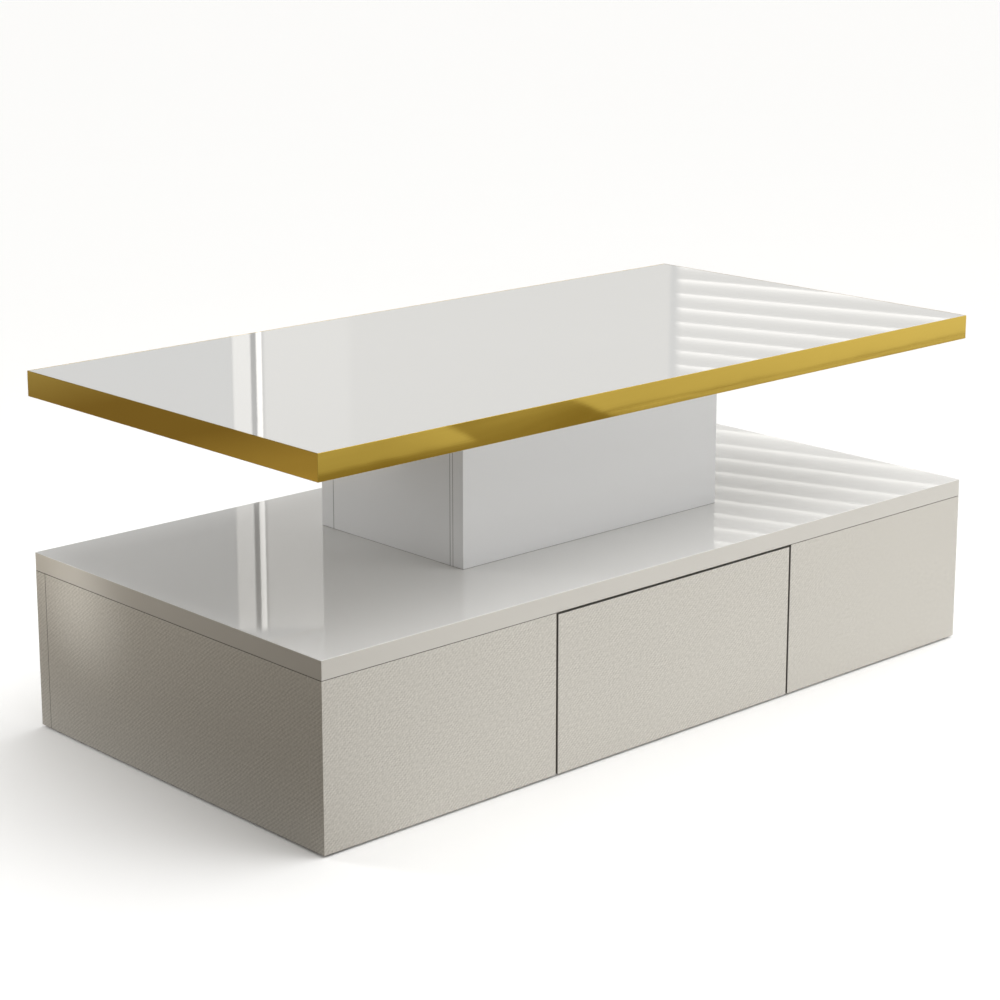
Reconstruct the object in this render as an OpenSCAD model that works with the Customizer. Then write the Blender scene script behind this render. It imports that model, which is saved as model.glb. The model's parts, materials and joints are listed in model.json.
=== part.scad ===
// Lift top coffee table: a low base with one drawer, a deck, a hollow pedestal on the
// deck, and a top on it that swings up and forward on a pair of four-bar arms.
// Millimetres. Origin on the floor under the middle of the table, +Z up,
// +X along the length, the drawer faces -Y.

/* [Table] */
// Length of the top, the deck and the base
table_l = 1200; // [1100:10:1400]
// Width of the top, the deck and the base
table_w = 600; // [580:10:700]
// Height of the closed table above the floor
table_h = 488; // [480:1:540]

/* [Boards] */
// Thickness of the lifting top
top_t = 34; // [28:1:40]
// Thickness of the deck, front, end and pedestal boards
board_t = 25; // [22:1:28]
// Thickness of the rear board of the base
rear_t = 22; // [18:1:25]
// Thickness of the bottom board and of the two dividers
inner_t = 16; // [15:1:18]
// Thickness of the polished band round the top
band_t = 1.5; // [1:0.1:3]

/* [Base] */
// Height of the base boards, under the deck
base_h = 215; // [205:1:225]
// Height of the glides that the base stands on
glide_h = 3; // [2:0.5:6]

/* [Pedestal] */
// Length of the pedestal
ped_l = 480; // [460:1:520]
// Width of the pedestal
ped_w = 288; // [276:1:320]
// Gap between the pedestal's rim and the closed top
rim_gap = 1.5; // [1.2:0.1:3]

/* [Drawer] */
// Width of the drawer front
drawer_w = 441; // [400:1:460]
// Gap at each side of the drawer front
front_gap = 3; // [2:0.5:4]
// Gap between the drawer front and the deck
top_gap = 2.5; // [1.5:0.5:4]
// Length of the drawer sides and of the runners
drawer_l = 450; // [400:10:450]
// Height of the drawer sides
side_h = 150; // [120:1:160]
// Thickness of the drawer sides and back
side_t = 12; // [12:1:14]

/* [Lift mechanism] */
// Angle of the arms above the horizontal, pointing back, when the top is closed
arm_closed = -10; // [-12:1:-6]
// Angle that the arms swing through
arm_swing = 122; // [110:1:124]
// Width of the arms
arm_w = 20; // [18:1:20]
// Length of the rear arms' tails, which the springs pull on
tail_l = 30; // [28:1:32]
// Length of a spring from stud to post when the top is closed
spring_l = 150; // [145:1:155]

/* [Hidden] */
$fn = 48;

// Colours
gloss_white = [0.93, 0.93, 0.92];
pedestal_white = [0.85, 0.85, 0.86];
greige = [0.76, 0.74, 0.71];
gold = [0.80, 0.62, 0.20];
carcass = [0.90, 0.89, 0.86];
hardboard = [0.72, 0.62, 0.48];
black_steel = [0.16, 0.16, 0.17];
zinc = [0.70, 0.71, 0.73];
nylon = [0.85, 0.85, 0.82];
grey_plastic = [0.45, 0.46, 0.48];

// Clearances: between fixed pieces that fit together, of a pin that turns, and of a
// moving piece beside a still one
fit = 0.1;
run = 0.05;
side_gap = 0.3;

// Half sizes and heights of the boards
half_l = table_l / 2;
half_w = table_w / 2;
deck_z = glide_h + base_h;
deck_top = deck_z + board_t;
top_z = table_h - top_t;
rim_z = top_z - rim_gap;
front_in = half_w - board_t;
rear_in = half_w - rear_t;
end_in = half_l - board_t;
cav_x = ped_l / 2 - board_t;
cav_y = ped_w / 2 - board_t;

// Distances from the middle plane of the lift's pieces, from the pedestal's end board in
plate_t = 3;
plate_x = cav_x - plate_t;
arm_t = 4;
arm_x = plate_x - 3 - arm_t;
bracket_x = arm_x - 2.5 - plate_t;
spring_x = bracket_x - 11.5;
spring_r = 7;
stud_x = spring_x - 4;
head_t = 1.5;

// Pivots, stop and spring ends as [y, z]. The arms are as long as the pedestal allows.
function polar(r, a) = [r * cos(a), r * sin(a)];
arm_open = arm_closed + arm_swing;
arm_l = 2 * cav_y - 88;
front_base = [31 - cav_y, rim_z - 34.5];
rear_base = front_base + [43, -30];
front_top = front_base + polar(arm_l, arm_closed);
rear_top = rear_base + polar(arm_l, arm_closed);
tail_end = rear_base + polar(tail_l, arm_closed + 180);
tail_open = rear_base + polar(tail_l, arm_open + 180);
spring_dir = (tail_open - tail_end) / norm(tail_open - tail_end);
post = tail_end + spring_l * spring_dir;
pin_r = 4;
pin_head_r = 7;
stud_r = 3;
stop = front_base + polar(25, arm_open)
     + polar(arm_w / 2 + stud_r + side_gap + 0.1, arm_open + 90);
bar_at = rear_base + polar(arm_l / 2, arm_closed);
bar_r = 7;

// Screws of the lift
screw_r = 2;
screw_head_r = 4;
screw_head_t = 2.2;
screw_l = 14;
plate_screws = [front_base + [-18, -10], front_base + [24, 16],
                rear_base + [37, -36], post + [2, 22]];
bracket_front = -40;
bracket_rear = rear_top[0] + 11;
flange_w = 25;
flange_x = bracket_x - flange_w / 2;
bracket_screw_y = [for (k = [0:3]) bracket_front + 12 + k * (bracket_rear - bracket_front - 24) / 3];

// Drawer and its bay
open_x = drawer_w / 2 + front_gap;
bay_x = open_x + 1.5;
bay_front = front_in - 5;
runner_t = 12.7;
box_x = bay_x - runner_t;
box_z = glide_h + 29;
box_back = drawer_l - front_in;
base_floor = glide_h + 5;
bottom_z = box_z + 6;
bottom_t = 5;
groove = 6;
runner_z = box_z + side_h / 2;

// Sections of the runners' three channels, nested with room for the balls
outer_h = 45;
outer_d = 11;
outer_sheet = 1.2;
lip_h = 3.2;
lip_z = (outer_h - lip_h) / 2 - outer_sheet + fit;
middle_x = bay_x - 2.6;
middle_h = 33;
middle_d = 8.8;
inner_h = 22;
inner_d = 7.2;
sheet = 1;

// Push latch: its body behind the drawer, and the bore that its plunger slides in
latch_r = 7;
latch_l = 80;
latch_bore_r = 4.6;

// Cam fittings: a cam in a pocket of one board pulls on a bolt in the next.
// Each entry: centre of the pocket's mouth, way into the board, way of the bolt, and
// the depth of the bolt's axis.
cam_r = 7.4;
cam_back = 34;
bolt_r = 3.5;
bolt_in = 12;
up = [0, 0, 1];
function front_cams(s) = [for (x = [0.5, 0.85]) [[s * half_l * x, -front_in, deck_z - cam_back],
                                                 [0, -1, 0], up, board_t / 2]];
rear_cams = [for (x = [-0.75, 0, 0.75]) [[half_l * x, rear_in, deck_z - cam_back],
                                         [0, 1, 0], up, rear_t / 2]];
function end_cams(s) = [for (y = [-150, 150]) [[s * end_in, y, deck_z - cam_back],
                                               [s, 0, 0], up, board_t / 2]];
function divider_cams(s) = [for (y = [-150, 150]) [[s * (bay_x + inner_t), y, deck_z - cam_back],
                                                   [-s, 0, 0], up, inner_t / 2]];
base_cam_list = concat(front_cams(-1), front_cams(1), rear_cams, end_cams(-1), end_cams(1),
                       divider_cams(-1), divider_cams(1));
function ped_cams(s) = [for (f = [-1, 1], z = [deck_top + 30, rim_z - 20])
                        [[s * cav_x, f * (cav_y - cam_back), z], [s, 0, 0], [0, f, 0], board_t / 2]];
function side_cams(s) = [for (z = [runner_z - 42, runner_z + 42])
                         [[s * (box_x - side_t), cam_back - front_in, z],
                          [s, 0, 0], [0, -1, 0], side_t / 2]];
function cam_frame(c) = let (x = c[2], z = c[1], y = cross(z, x), p = c[0])
    [[x[0], y[0], z[0], p[0]], [x[1], y[1], z[1], p[1]], [x[2], y[2], z[2], p[2]], [0, 0, 0, 1]];

// Screws that hold the pedestal's boards down on the deck, as [x, y]
ped_screws = concat([for (x = [-150, 150], f = [-1, 1]) [x, f * (ped_w - board_t) / 2]],
                    [for (s = [-1, 1], y = [-60, 60]) [s * (ped_l - board_t) / 2, y]]);

// ---- Helpers ----

// A board between two corners
module board(low, high) translate(low) cube(high - low);

// Draws its children on the right side, or mirrored on the left for s = -1
module on_side(s) mirror([s < 0 ? 1 : 0, 0, 0]) children();

// A plate whose outline is drawn as [y, z]
module plate(x, t) translate([x, 0, 0]) rotate([90, 0, 90]) linear_extrude(t) children();

// A rod along X through the point at = [y, z]
module rod(x0, x1, at, r) translate([x0, at[0], at[1]]) rotate([0, 90, 0]) cylinder(h = x1 - x0, r = r);

// A bar of width w from the origin along the first axis, with round ends
module round_bar(l, w) {
    circle(d = w);
    translate([l, 0]) circle(d = w);
    translate([0, -w / 2]) square([l, w]);
}

// A screw's head, under the plane z = 0
module screw_head() translate([0, 0, -screw_head_t])
    cylinder(h = screw_head_t, r1 = screw_head_r - 1, r2 = screw_head_r);

// Cam fittings
module cam(depth) difference() {
    cylinder(h = depth + 4.5, r = cam_r);
    translate([0, 0, depth]) rotate([0, 90, 0]) cylinder(h = cam_r + 1, r = bolt_r + 0.3);
    translate([-5, -0.8, -1]) cube([10, 1.6, 3]);
    translate([-0.8, -5, -1]) cube([1.6, 10, 3]);
}
module cam_bolt(depth) translate([0, 0, depth]) rotate([0, 90, 0]) {
    cylinder(h = cam_back + bolt_in, r = bolt_r);
}
module cam_cut(depth) {
    translate([0, 0, -1]) cylinder(h = depth + 4.5 + fit + 1, r = cam_r + fit);
    translate([0, 0, depth]) rotate([0, 90, 0]) cylinder(h = cam_back + bolt_in + fit, r = bolt_r + fit);
}
module cams(list) for (c = list) multmatrix(cam_frame(c)) cam(c[3]);
module cam_bolts(list) for (c = list) multmatrix(cam_frame(c)) cam_bolt(c[3]);
module cam_cuts(list) for (c = list) multmatrix(cam_frame(c)) cam_cut(c[3]);

// ---- Lifting top ----

module lift_top_panel() color(gloss_white) difference() {
    board([band_t - half_l, band_t - half_w, top_z], [half_l - band_t, half_w - band_t, table_h]);
    for (s = [-1, 1], y = bracket_screw_y)
        translate([s * flange_x, y, top_z - 1]) cylinder(h = screw_l + 1.5, r = screw_r + run);
}

// A band with mitred ends, along an edge of length l that lies at distance d
module edge_band(l, d) translate([0, 0, top_z]) linear_extrude(top_t)
    polygon([[-l / 2, -d], [l / 2, -d], [l / 2 - band_t, band_t - d], [band_t - l / 2, band_t - d]]);
module edge_band_front() color(gold) edge_band(table_l, half_w);
module edge_band_rear() color(gold) rotate(180) edge_band(table_l, half_w);
module edge_band_left() color(gold) rotate(-90) edge_band(table_w, half_l);
module edge_band_right() color(gold) rotate(90) edge_band(table_w, half_l);

module top_bracket(s) color(black_steel) on_side(s) difference() {
    union() {
        plate(bracket_x, plate_t) hull() {
            translate(front_top) circle(r = 11, $fn = 32);
            translate(rear_top) circle(r = 11, $fn = 32);
            translate([front_top[0] - 11, top_z - 1]) square([bracket_rear - front_top[0] + 11, 1]);
        }
        board([bracket_x - flange_w, bracket_front, top_z - plate_t],
              [bracket_x + plate_t, bracket_rear, top_z]);
    }
    rod(bracket_x - 1, bracket_x + plate_t + 1, front_top, pin_r + run);
    rod(bracket_x - 1, bracket_x + plate_t + 1, rear_top, pin_r + run);
    for (y = bracket_screw_y)
        translate([flange_x, y, top_z - plate_t - 1]) cylinder(h = plate_t + 2, r = screw_r + fit);
}
module top_bracket_left() top_bracket(-1);
module top_bracket_right() top_bracket(1);

module top_bracket_screws() color(zinc) for (s = [-1, 1], y = bracket_screw_y)
    translate([s * flange_x, y, top_z - plate_t]) {
        cylinder(h = plate_t + screw_l, r = screw_r);
        screw_head();
    }

module top_pivot_pins() color(zinc) for (s = [-1, 1], at = [front_top, rear_top]) on_side(s) {
    rod(bracket_x, arm_x + arm_t + side_gap, at, pin_r);
    rod(arm_x + arm_t + side_gap, arm_x + arm_t + side_gap + head_t, at, pin_head_r);
}

module washer(x0, x1, at) difference() {
    rod(x0, x1, at, 9);
    rod(x0 - 1, x1 + 1, at, pin_r + run);
}
module top_pivot_washers() color(nylon) for (s = [-1, 1], at = [front_top, rear_top])
    on_side(s) washer(bracket_x + plate_t, arm_x - side_gap, at);

// ---- Arms ----

module front_arm(s) color(black_steel) on_side(s) difference() {
    plate(arm_x, arm_t) translate(front_base) rotate(arm_closed) round_bar(arm_l, arm_w);
    rod(arm_x - 1, arm_x + arm_t + 1, front_base, pin_r + run);
    rod(arm_x - 1, arm_x + arm_t + 1, front_top, pin_r + side_gap);
}
module front_arm_left() front_arm(-1);
module front_arm_right() front_arm(1);

module rear_arm(s) color(black_steel) on_side(s) difference() {
    plate(arm_x, arm_t) translate(rear_base) rotate(arm_closed) {
        round_bar(arm_l, arm_w);
        rotate(180) round_bar(tail_l, arm_w - 4);
    }
    rod(arm_x - 1, arm_x + arm_t + 1, rear_base, pin_r + run);
    rod(arm_x - 1, arm_x + arm_t + 1, rear_top, pin_r + run);
    rod(arm_x - 1, arm_x + arm_t + 1, tail_end, stud_r + run);
}
module rear_arm_left() rear_arm(-1);
module rear_arm_right() rear_arm(1);

module cross_bar() color(black_steel) difference() {
    rod(-arm_x, arm_x, bar_at, bar_r);
    for (s = [-1, 1]) on_side(s) rod(arm_x - 30, arm_x + 1, bar_at, bar_r - 1.5);
}

// A stud with a head that keeps the spring's hook on
module stud(x_end, at) {
    rod(stud_x, x_end, at, stud_r);
    rod(stud_x - head_t, stud_x, at, stud_r + 2);
}
module spring_studs() color(zinc) for (s = [-1, 1]) on_side(s) stud(arm_x + arm_t, tail_end);

// ---- Fixed half of the lift ----

module base_plate(s) color(black_steel) on_side(s) difference() {
    plate(plate_x, plate_t) polygon([
        front_base + [-29, 28], front_base + [-29, -18], rear_base + [-15, -16], post + [-14, -14],
        post + [14, -14], post + [14, 20], rear_base + [25, 12], front_base + [30, 28]]);
    for (at = [front_base, rear_base]) rod(plate_x - 1, cav_x + 1, at, pin_r + run);
    for (at = [stop, post]) rod(plate_x - 1, cav_x + 1, at, stud_r + run);
    for (at = plate_screws) rod(plate_x - 1, cav_x + 1, at, screw_r + fit);
}
module base_plate_left() base_plate(-1);
module base_plate_right() base_plate(1);

module base_plate_screws() color(zinc) for (s = [-1, 1], at = plate_screws) on_side(s) {
    rod(plate_x, cav_x + screw_l, at, screw_r);
    translate([plate_x, at[0], at[1]]) rotate([0, 90, 0]) screw_head();
}

module base_plate_studs() color(zinc) for (s = [-1, 1]) on_side(s) {
    stud(cav_x, post);
    rod(arm_x - 0.5, cav_x, stop, stud_r);
}

module base_pivot_pins() color(zinc) for (s = [-1, 1], at = [front_base, rear_base]) on_side(s) {
    rod(arm_x - side_gap, cav_x, at, pin_r);
    rod(arm_x - side_gap - head_t, arm_x - side_gap, at, pin_head_r);
}

module base_pivot_washers() color(nylon) for (s = [-1, 1], at = [front_base, rear_base])
    on_side(s) washer(arm_x + arm_t + side_gap, plate_x, at);

// The space that the coil fills between its two hooks
module spring(s) color(zinc) on_side(s)
    translate([spring_x, tail_end[0] + 8 * spring_dir[0], tail_end[1] + 8 * spring_dir[1]])
        rotate([atan2(-spring_dir[0], spring_dir[1]), 0, 0]) cylinder(h = spring_l - 16, r = spring_r);
module spring_left() spring(-1);
module spring_right() spring(1);

// ---- Pedestal ----

module ped_screw_cuts() for (at = ped_screws) translate([at[0], at[1], deck_z - 1]) {
    cylinder(h = board_t + 32, r = 2.5 + run);
    cylinder(h = 4 + fit, r = 5 + fit);
}

module pedestal_long(f) color(pedestal_white) difference() {
    translate([0, f * (ped_w - board_t) / 2, (deck_top + rim_z) / 2])
        cube([ped_l, board_t, rim_z - deck_top], center = true);
    cam_cuts(concat(ped_cams(-1), ped_cams(1)));
    ped_screw_cuts();
}
module pedestal_front() pedestal_long(-1);
module pedestal_rear() pedestal_long(1);

module pedestal_end(s) color(pedestal_white) difference() {
    on_side(s) board([cav_x, -cav_y, deck_top], [ped_l / 2, cav_y, rim_z]);
    cam_cuts(ped_cams(s));
    ped_screw_cuts();
    on_side(s) for (at = plate_screws) rod(cav_x - 1, cav_x + screw_l + fit, at, screw_r + run);
}
module pedestal_left() pedestal_end(-1);
module pedestal_right() pedestal_end(1);

module pedestal_cams() color(zinc) cams(concat(ped_cams(-1), ped_cams(1)));
module pedestal_cam_bolts() color(zinc) cam_bolts(concat(ped_cams(-1), ped_cams(1)));
module pedestal_screws() color(zinc) for (at = ped_screws) translate([at[0], at[1], deck_z]) {
    cylinder(h = board_t + 30, r = 2.5);
    cylinder(h = 3, r = 5);
}

module rim_bumpers() color(nylon)
    for (x = [-ped_l / 2 + 30, 0, ped_l / 2 - 30], f = [-1, 1])
        translate([x, f * (ped_w - board_t) / 2, rim_z]) cylinder(h = rim_gap - side_gap, r = 5);

// ---- Base ----

module deck_panel() color(gloss_white) difference() {
    board([-half_l, -half_w, deck_z], [half_l, half_w, deck_top]);
    cam_cuts(base_cam_list);
    ped_screw_cuts();
}

module front_panel(s) color(greige) difference() {
    on_side(s) board([open_x, -half_w, glide_h], [half_l, -front_in, deck_z]);
    cam_cuts(front_cams(s));
}
module front_panel_left() front_panel(-1);
module front_panel_right() front_panel(1);

module rear_panel() color(greige) difference() {
    board([-half_l, rear_in, glide_h], [half_l, half_w, deck_z]);
    cam_cuts(rear_cams);
}

module end_panel(s) color(greige) difference() {
    on_side(s) board([end_in, -front_in, glide_h], [half_l, rear_in, deck_z]);
    cam_cuts(end_cams(s));
}
module end_panel_left() end_panel(-1);
module end_panel_right() end_panel(1);

module bottom_panel() color(carcass) difference() {
    board([-end_in, -front_in, base_floor], [end_in, rear_in, base_floor + inner_t]);
    board([-bay_x, -front_in - 1, base_floor - 1], [bay_x, -bay_front, base_floor + inner_t + 1]);
}

module divider(s) color(carcass) difference() {
    on_side(s) board([bay_x, -bay_front, base_floor + inner_t], [bay_x + inner_t, rear_in, deck_z]);
    cam_cuts(divider_cams(s));
}
module divider_left() divider(-1);
module divider_right() divider(1);

module base_cams() color(zinc) cams(base_cam_list);
module base_cam_bolts() color(zinc) cam_bolts(base_cam_list);

module glides() color(grey_plastic) for (x = [half_l - 15, open_x + 18], s = [-1, 1]) {
    translate([s * x, board_t / 2 - half_w, 0]) cylinder(h = glide_h, r1 = 8, r2 = 9);
    translate([s * x, half_w - rear_t / 2, 0]) cylinder(h = glide_h, r1 = 8, r2 = 9);
}

// ---- Drawer ----

// The drawer's bottom, which runs in grooves in the sides and the front
module bottom_board(grow) {
    half = box_x - side_t + groove + grow;
    board([-half, -front_in - groove - grow, bottom_z - grow],
          [half, box_back + grow, bottom_z + bottom_t + grow]);
}

module drawer_front() color(greige) difference() {
    board([-drawer_w / 2, -half_w, glide_h], [drawer_w / 2, -front_in, deck_z - top_gap]);
    bottom_board(fit);
    cam_cuts(concat(side_cams(-1), side_cams(1)));
}

module drawer_side(s) color(carcass) difference() {
    on_side(s) board([box_x - side_t, -front_in, box_z], [box_x, box_back, box_z + side_h]);
    bottom_board(fit);
    cam_cuts(side_cams(s));
}
module drawer_side_left() drawer_side(-1);
module drawer_side_right() drawer_side(1);

module drawer_back() color(carcass)
    board([side_t - box_x, box_back - side_t, bottom_z + bottom_t + fit],
          [box_x - side_t, box_back, box_z + side_h]);

module drawer_bottom() color(hardboard) bottom_board(0);
module drawer_cams() color(zinc) cams(concat(side_cams(-1), side_cams(1)));
module drawer_cam_bolts() color(zinc) cam_bolts(concat(side_cams(-1), side_cams(1)));

// A runner's channel: the web is on the side of x0, h is its outside height, d its depth
// and t the sheet's thickness. It opens towards -X, or towards +X for a negative d.
module channel(x0, h, d, t) translate([0, -front_in, runner_z]) rotate([90, 0, 0]) mirror([0, 0, 1])
    linear_extrude(drawer_l) translate([x0, 0]) mirror([d > 0 ? 1 : 0, 0]) difference() {
        translate([0, -h / 2]) square([abs(d), h]);
        translate([t, t - h / 2]) square([abs(d), h - 2 * t]);
    }

// The outer channel's edges are turned in, to keep the balls
module runner_outer(s) color(zinc) on_side(s) {
    channel(bay_x, outer_h, outer_d, outer_sheet);
    for (f = [-1, 1]) translate([bay_x - outer_d, -front_in, runner_z + f * lip_z - lip_h / 2])
        cube([outer_sheet, drawer_l, lip_h]);
}
module runner_outer_left() runner_outer(-1);
module runner_outer_right() runner_outer(1);

module runner_middle(s) color(zinc) on_side(s) channel(middle_x, middle_h, middle_d, sheet);
module runner_middle_left() runner_middle(-1);
module runner_middle_right() runner_middle(1);

module runner_inner(s) color(zinc) on_side(s) channel(box_x, inner_h, -inner_d, sheet);
module runner_inner_left() runner_inner(-1);
module runner_inner_right() runner_inner(1);

// ---- Push latch: behind the drawer, on the rear board ----

module push_latch_body() color(grey_plastic) translate([0, rear_in, runner_z]) rotate([90, 0, 0])
    difference() {
        union() {
            cylinder(h = latch_l, r = latch_r);
            translate([-18, -10, 0]) cube([36, 20, 4]);
        }
        translate([0, 0, 16]) cylinder(h = latch_l, r = latch_bore_r);
    }

module push_latch_plunger() color(nylon)
    translate([0, box_back + side_gap, runner_z]) rotate([-90, 0, 0]) {
        cylinder(h = 3, r = 5);
        cylinder(h = rear_in - latch_l - box_back + 40, r = latch_bore_r - side_gap);
    }

lift_top_panel();
edge_band_front();
edge_band_rear();
edge_band_left();
edge_band_right();
top_bracket_left();
top_bracket_right();
top_bracket_screws();
top_pivot_pins();
top_pivot_washers();
rear_arm_left();
rear_arm_right();
cross_bar();
spring_studs();
front_arm_left();
front_arm_right();
base_plate_left();
base_plate_right();
base_plate_screws();
base_plate_studs();
base_pivot_pins();
base_pivot_washers();
spring_left();
spring_right();
pedestal_front();
pedestal_rear();
pedestal_left();
pedestal_right();
pedestal_cams();
pedestal_cam_bolts();
pedestal_screws();
rim_bumpers();
deck_panel();
front_panel_left();
front_panel_right();
rear_panel();
end_panel_left();
end_panel_right();
bottom_panel();
divider_left();
divider_right();
base_cams();
base_cam_bolts();
glides();
drawer_front();
drawer_side_left();
drawer_side_right();
drawer_back();
drawer_bottom();
drawer_cams();
drawer_cam_bolts();
runner_outer_left();
runner_outer_right();
runner_middle_left();
runner_middle_right();
runner_inner_left();
runner_inner_right();
push_latch_body();
push_latch_plunger();
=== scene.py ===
"""Looks of the lift top coffee table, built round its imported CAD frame. Metres, +Z up.

The drawer faces -Y and the camera stands at the front left, past the corner at -X, -Y.
"""
import json
import math

import bmesh
import bpy
from mathutils import Matrix, Vector


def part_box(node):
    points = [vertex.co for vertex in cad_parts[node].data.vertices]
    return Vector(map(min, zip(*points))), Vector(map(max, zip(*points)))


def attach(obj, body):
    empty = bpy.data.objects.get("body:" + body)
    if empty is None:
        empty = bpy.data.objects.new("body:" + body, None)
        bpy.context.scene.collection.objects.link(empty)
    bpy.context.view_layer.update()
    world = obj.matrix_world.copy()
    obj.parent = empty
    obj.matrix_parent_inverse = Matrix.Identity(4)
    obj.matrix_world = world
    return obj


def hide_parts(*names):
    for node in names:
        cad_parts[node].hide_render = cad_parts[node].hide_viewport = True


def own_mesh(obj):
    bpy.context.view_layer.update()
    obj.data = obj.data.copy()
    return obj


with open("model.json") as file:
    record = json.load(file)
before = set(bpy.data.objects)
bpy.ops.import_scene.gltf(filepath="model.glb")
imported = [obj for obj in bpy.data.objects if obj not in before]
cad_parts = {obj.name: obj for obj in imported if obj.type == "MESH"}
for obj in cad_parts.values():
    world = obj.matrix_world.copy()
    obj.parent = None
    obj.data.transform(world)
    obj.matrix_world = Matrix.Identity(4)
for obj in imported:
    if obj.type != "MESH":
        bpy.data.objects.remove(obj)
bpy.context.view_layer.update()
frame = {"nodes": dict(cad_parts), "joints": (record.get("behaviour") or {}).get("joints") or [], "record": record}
nodes = frame["nodes"]
record = frame["record"]
MM = 0.001

# ---------------------------------------------------------------- camera

CAMERA_AT = (-2.285, -2.416, 1.169)
CAMERA_AZIMUTH = 42.88  # degrees from +Y towards +X
CAMERA_DOWN = 12.93  # degrees below the horizon
CAMERA_LENS = 89.1  # mm
CAMERA_SENSOR = 36  # mm
CAMERA_SHIFT = -0.1
CAMERA_REACH = 200


def make_camera():
    data = bpy.data.cameras.new("camera")
    data.lens = CAMERA_LENS
    data.sensor_width = CAMERA_SENSOR
    data.shift_y = CAMERA_SHIFT
    data.clip_end = CAMERA_REACH
    camera = bpy.data.objects.new("camera", data)
    bpy.context.scene.collection.objects.link(camera)
    camera.location = CAMERA_AT
    camera.rotation_euler = (math.radians(90 - CAMERA_DOWN), 0, math.radians(-CAMERA_AZIMUTH))
    bpy.context.scene.camera = camera


make_camera()

# ---------------------------------------------------------------- materials

TOP_WHITE = (0.66, 0.66, 0.65)
DECK_WHITE = (0.715, 0.71, 0.695)
PEDESTAL = (0.65, 0.65, 0.65)
GREIGE = (0.50, 0.48, 0.44)
GOLD = (0.495, 0.35, 0.065)
# Painted shade: a near-black line drawn into the joints between boards and round the drawer gap. Painted
# highlight: a pale line drawn along the seam where the end panels meet the front panels.
SEAM_SHADE = (0.15, 0.14, 0.125)
SEAM_HIGHLIGHT = (0.66, 0.64, 0.60)
TWILL = 5.2 * MM  # up the face, from rib to rib
THREAD_H = 0.09 * MM
THREAD_LOW = (0.71, 0.70, 0.68)  # times the foil's colour, between the ribs
THREAD_HIGH = (1.24, 1.24, 1.23)  # times the foil's colour, on the ribs
SEAM = 0.45 * MM  # half the width of each painted line of shade and highlight on a seam
SEAM_FADE = 0.2 * MM
LIPPING = 5.5 * MM  # of the pedestal's front board
DECK_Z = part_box("deck_panel")[0].z
PEDESTAL_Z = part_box("pedestal_front")[0].z
PEDESTAL_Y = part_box("pedestal_left")[1].y
END_FRONT_Y, END_REAR_Y = (corner.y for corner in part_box("end_panel_left"))


class Paint:
    """A material with a Principled shader, and short calls that add nodes to it."""

    def __init__(self, name, **sockets):
        self.material = bpy.data.materials.new(name)
        self.material.use_nodes = True
        self.tree = self.material.node_tree
        self.shader = next(n for n in self.tree.nodes if n.type == "BSDF_PRINCIPLED")
        coords = self.node("ShaderNodeTexCoord")
        self.place = coords.outputs["Object"]
        self.facing = coords.outputs["Normal"]
        self.set(**sockets)

    def node(self, kind, inputs=None, **settings):
        made = self.tree.nodes.new(kind)
        for key, value in settings.items():
            setattr(made, key, value)
        for key, value in (inputs or {}).items():
            self.feed(made.inputs[key], value)
        return made

    def feed(self, socket, value):
        if isinstance(value, bpy.types.NodeSocket):
            self.tree.links.new(value, socket)
        elif socket.type == "RGBA":
            socket.default_value = (*value, 1)
        else:
            socket.default_value = value

    def set(self, **sockets):
        """Sets the shader's sockets: coat_weight=1 sets Coat Weight."""
        for key, value in sockets.items():
            self.feed(self.shader.inputs[SOCKETS.get(key, key.replace("_", " ").title())], value)
        return self

    def mapped(self, scale=(1, 1, 1), turn=(0, 0, 0)):
        """The object's own coordinates, turned in degrees and scaled."""
        turn = tuple(math.radians(a) for a in turn)
        turned = self.node("ShaderNodeMapping", {"Vector": self.place, "Rotation": turn})
        inputs = {"Vector": turned.outputs[0], "Scale": scale}
        return self.node("ShaderNodeMapping", inputs).outputs[0]

    def noise(self, scale, detail=2.0, rough=0.5, at=None):
        inputs = {"Vector": at or self.place, "Scale": scale, "Detail": detail, "Roughness": rough}
        return self.node("ShaderNodeTexNoise", inputs).outputs["Fac"]

    def cells(self, scale):
        """A colour for each cell of a Voronoi pattern."""
        inputs = {"Vector": self.place, "Scale": scale}
        return self.node("ShaderNodeTexVoronoi", inputs).outputs["Color"]

    def math(self, operation, a, b=0.0, c=0.0):
        made = self.node("ShaderNodeMath", operation=operation)
        for socket, value in zip(made.inputs, (a, b, c)):
            self.feed(socket, value)
        return made.outputs[0]

    def ranged(self, value, low, high, to_low=0.0, to_high=1.0):
        """value between low and high, moved to between to_low and to_high."""
        inputs = {"Value": value, "From Min": low, "From Max": high, "To Min": to_low, "To Max": to_high}
        return self.node("ShaderNodeMapRange", inputs).outputs[0]

    def blend(self, share, a, b):
        """Colour a where share is 0, colour b where it is 1."""
        made = self.node("ShaderNodeMix", data_type="RGBA")
        for index, value in ((0, share), (6, a), (7, b)):
            self.feed(made.inputs[index], value)
        return made.outputs[2]

    def bump(self, height, depth, over=None):
        """A bump whose height of 1 is depth metres."""
        inputs = {"Height": height, "Distance": depth, "Strength": 1.0}
        if over is not None:
            inputs["Normal"] = over
        return self.node("ShaderNodeBump", inputs).outputs[0]

    def axes(self, vector):
        return self.node("ShaderNodeSeparateXYZ", {0: vector}).outputs


SOCKETS = {
    "colour": "Base Color",
    "coat_ior": "Coat IOR",
    "ior": "IOR",
    "specular": "Specular IOR Level",
}


def shade(colour, factor):
    return tuple(c * factor for c in colour)


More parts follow.
